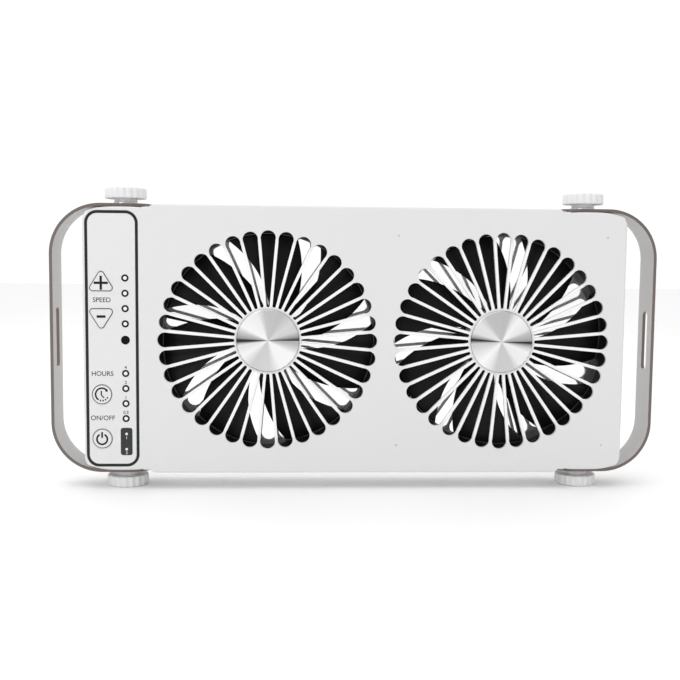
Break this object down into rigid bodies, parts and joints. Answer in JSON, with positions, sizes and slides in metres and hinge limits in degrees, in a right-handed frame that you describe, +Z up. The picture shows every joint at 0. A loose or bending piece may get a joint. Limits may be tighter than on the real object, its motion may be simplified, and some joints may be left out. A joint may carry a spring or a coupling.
{
  "type": "twin roof vent fan with swivel brackets",
  "caption": "Flat white case with side-by-side axial fans behind petal grilles, a control strip, and a swivelling metal bracket at each end clamped by scalloped thumb knobs.",
  "frame": {"origin": "middle of the overall box at the height of the lower knobs' feet", "axes": "-Y out of the front grilles towards the viewer, +Z up, +X towards the end without the control strip"},
  "size_m": [0.4, 0.038, 0.197],
  "materials": {
    "white_shell": "moulded white ABS, fine satin gloss",
    "white_keys": "moulded white, smooth satin gloss",
    "white_knob": "moulded white, satin gloss",
    "black_plastic": "moulded black, semi-gloss",
    "black_window": "dark smoked, polished",
    "clear_pipe": "milky clear light guide",
    "cap_metal": "spun finish with turning marks",
    "bracket_metal": "satin warm grey coating",
    "zinc_steel": "zinc plated, satin",
    "polished_steel": "ground and polished",
    "core_steel": "stacked steel sheet, lacquered",
    "magnet": "plastic bonded ferrite, matt",
    "copper_wire": "enamelled copper windings",
    "brass": "turned, satin",
    "green_board": "green solder resist",
    "ivory_plastic": "natural nylon",
    "chip_black": "moulded epoxy, matt",
    "led_clear": "clear epoxy",
    "black_wire": "black insulated cable",
    "slip_white": "natural acetal, matt"
  },
  "bodies": {
    "case": {"front_cover": "white_shell", "rear_cover": "white_shell", "control_strip": "white_shell", "strip_border": "black_plastic", "light_pipes": "clear_pipe", "lamp_bezels": "black_plastic", "remote_window": "black_window", "indicator_window": "black_window", "control_board": "green_board", "key_switches": "zinc_steel", "indicator_leds": "led_clear", "remote_receiver": "black_window", "board_chips": "chip_black", "board_connectors": "ivory_plastic", "board_screws": "zinc_steel", "wiring_loom": "black_wire", "power_socket": "black_plastic", "cap_left": "cap_metal", "cap_right": "cap_metal", "fan_frame_left": "black_plastic", "fan_frame_right": "black_plastic", "bearings_left": "polished_steel", "bearings_right": "polished_steel", "stator_core_left": "core_steel", "stator_core_right": "core_steel", "windings_left": "copper_wire", "windings_right": "copper_wire", "motor_board_left": "green_board", "motor_board_right": "green_board", "fan_screws": "zinc_steel", "case_screws": "zinc_steel", "slip_washers": "slip_white", "threaded_inserts": "brass"},
    "rotor_left": {"impeller_left": "black_plastic", "shaft_left": "polished_steel", "magnet_ring_left": "magnet", "shaft_clip_left": "zinc_steel"},
    "rotor_right": {"impeller_right": "black_plastic", "shaft_right": "polished_steel", "magnet_ring_right": "magnet", "shaft_clip_right": "zinc_steel"},
    "plus_key": {"key_plus": "white_keys"},
    "minus_key": {"key_minus": "white_keys"},
    "timer_key": {"key_timer": "white_keys"},
    "power_key": {"key_power": "white_keys"},
    "swing_bracket_left": {"bracket_left": "bracket_metal"},
    "swing_bracket_right": {"bracket_right": "bracket_metal"},
    "captive_washer_top_left": {"washer_top_left": "zinc_steel"},
    "clamp_knob_top_left": {"knob_top_left": "white_knob", "stud_top_left": "zinc_steel"},
    "captive_washer_top_right": {"washer_top_right": "zinc_steel"},
    "clamp_knob_top_right": {"knob_top_right": "white_knob", "stud_top_right": "zinc_steel"},
    "captive_washer_bottom_left": {"washer_bottom_left": "zinc_steel"},
    "clamp_knob_bottom_left": {"knob_bottom_left": "white_knob", "stud_bottom_left": "zinc_steel"},
    "captive_washer_bottom_right": {"washer_bottom_right": "zinc_steel"},
    "clamp_knob_bottom_right": {"knob_bottom_right": "white_knob", "stud_bottom_right": "zinc_steel"}
  },
  "joints": [
    {"name": "fan_left_spin", "type": "hinge", "parent": "case", "child": "rotor_left", "pos_m": [-0.0585, 0, 0.0985], "axis": [0, -1, 0], "continuous": true},
    {"name": "fan_right_spin", "type": "hinge", "parent": "case", "child": "rotor_right", "pos_m": [0.0953, 0, 0.0985], "axis": [0, -1, 0], "continuous": true},
    {"name": "plus_key_press", "type": "slide", "parent": "case", "child": "plus_key", "axis": [0, 1, 0], "range_m": [0, 0.0006], "stiffness_N_per_m": 900, "springref_m": -0.0006},
    {"name": "minus_key_press", "type": "slide", "parent": "case", "child": "minus_key", "axis": [0, 1, 0], "range_m": [0, 0.0006], "stiffness_N_per_m": 900, "springref_m": -0.0006},
    {"name": "timer_key_press", "type": "slide", "parent": "case", "child": "timer_key", "axis": [0, 1, 0], "range_m": [0, 0.0006], "stiffness_N_per_m": 900, "springref_m": -0.0006},
    {"name": "power_key_press", "type": "slide", "parent": "case", "child": "power_key", "axis": [0, 1, 0], "range_m": [0, 0.0006], "stiffness_N_per_m": 900, "springref_m": -0.0006},
    {"name": "bracket_left_swing", "type": "hinge", "parent": "case", "child": "swing_bracket_left", "pos_m": [-0.1525, 0, 0.0985], "axis": [0, 0, 1], "range_deg": [-90, 90]},
    {"name": "bracket_right_swing", "type": "hinge", "parent": "case", "child": "swing_bracket_right", "pos_m": [0.1525, 0, 0.0985], "axis": [0, 0, 1], "range_deg": [-90, 90]},
    {"name": "knob_top_left_lift", "type": "slide", "parent": "case", "child": "captive_washer_top_left", "axis": [0, 0, 1], "range_m": [0, 0.002]},
    {"name": "knob_top_left_turn", "type": "hinge", "parent": "captive_washer_top_left", "child": "clamp_knob_top_left", "pos_m": [-0.1525, 0, 0.19], "axis": [0, 0, 1], "range_deg": [0, 900]},
    {"name": "knob_top_right_lift", "type": "slide", "parent": "case", "child": "captive_washer_top_right", "axis": [0, 0, 1], "range_m": [0, 0.002]},
    {"name": "knob_top_right_turn", "type": "hinge", "parent": "captive_washer_top_right", "child": "clamp_knob_top_right", "pos_m": [0.1525, 0, 0.19], "axis": [0, 0, 1], "range_deg": [0, 900]},
    {"name": "knob_bottom_left_lift", "type": "slide", "parent": "case", "child": "captive_washer_bottom_left", "axis": [0, 0, -1], "range_m": [0, 0.002]},
    {"name": "knob_bottom_left_turn", "type": "hinge", "parent": "captive_washer_bottom_left", "child": "clamp_knob_bottom_left", "pos_m": [-0.1525, 0, 0.007], "axis": [0, 0, -1], "range_deg": [0, 900]},
    {"name": "knob_bottom_right_lift", "type": "slide", "parent": "case", "child": "captive_washer_bottom_right", "axis": [0, 0, -1], "range_m": [0, 0.002]},
    {"name": "knob_bottom_right_turn", "type": "hinge", "parent": "captive_washer_bottom_right", "child": "clamp_knob_bottom_right", "pos_m": [0.1525, 0, 0.007], "axis": [0, 0, -1], "range_deg": [0, 900]}
  ],
  "couplings": [
    {"joint": "knob_top_left_turn", "follows": "knob_top_left_lift", "rad_per_m": 7854},
    {"joint": "knob_top_right_turn", "follows": "knob_top_right_lift", "rad_per_m": 7854},
    {"joint": "knob_bottom_left_turn", "follows": "knob_bottom_left_lift", "rad_per_m": 7854},
    {"joint": "knob_bottom_right_turn", "follows": "knob_bottom_right_lift", "rad_per_m": 7854}
  ]
}
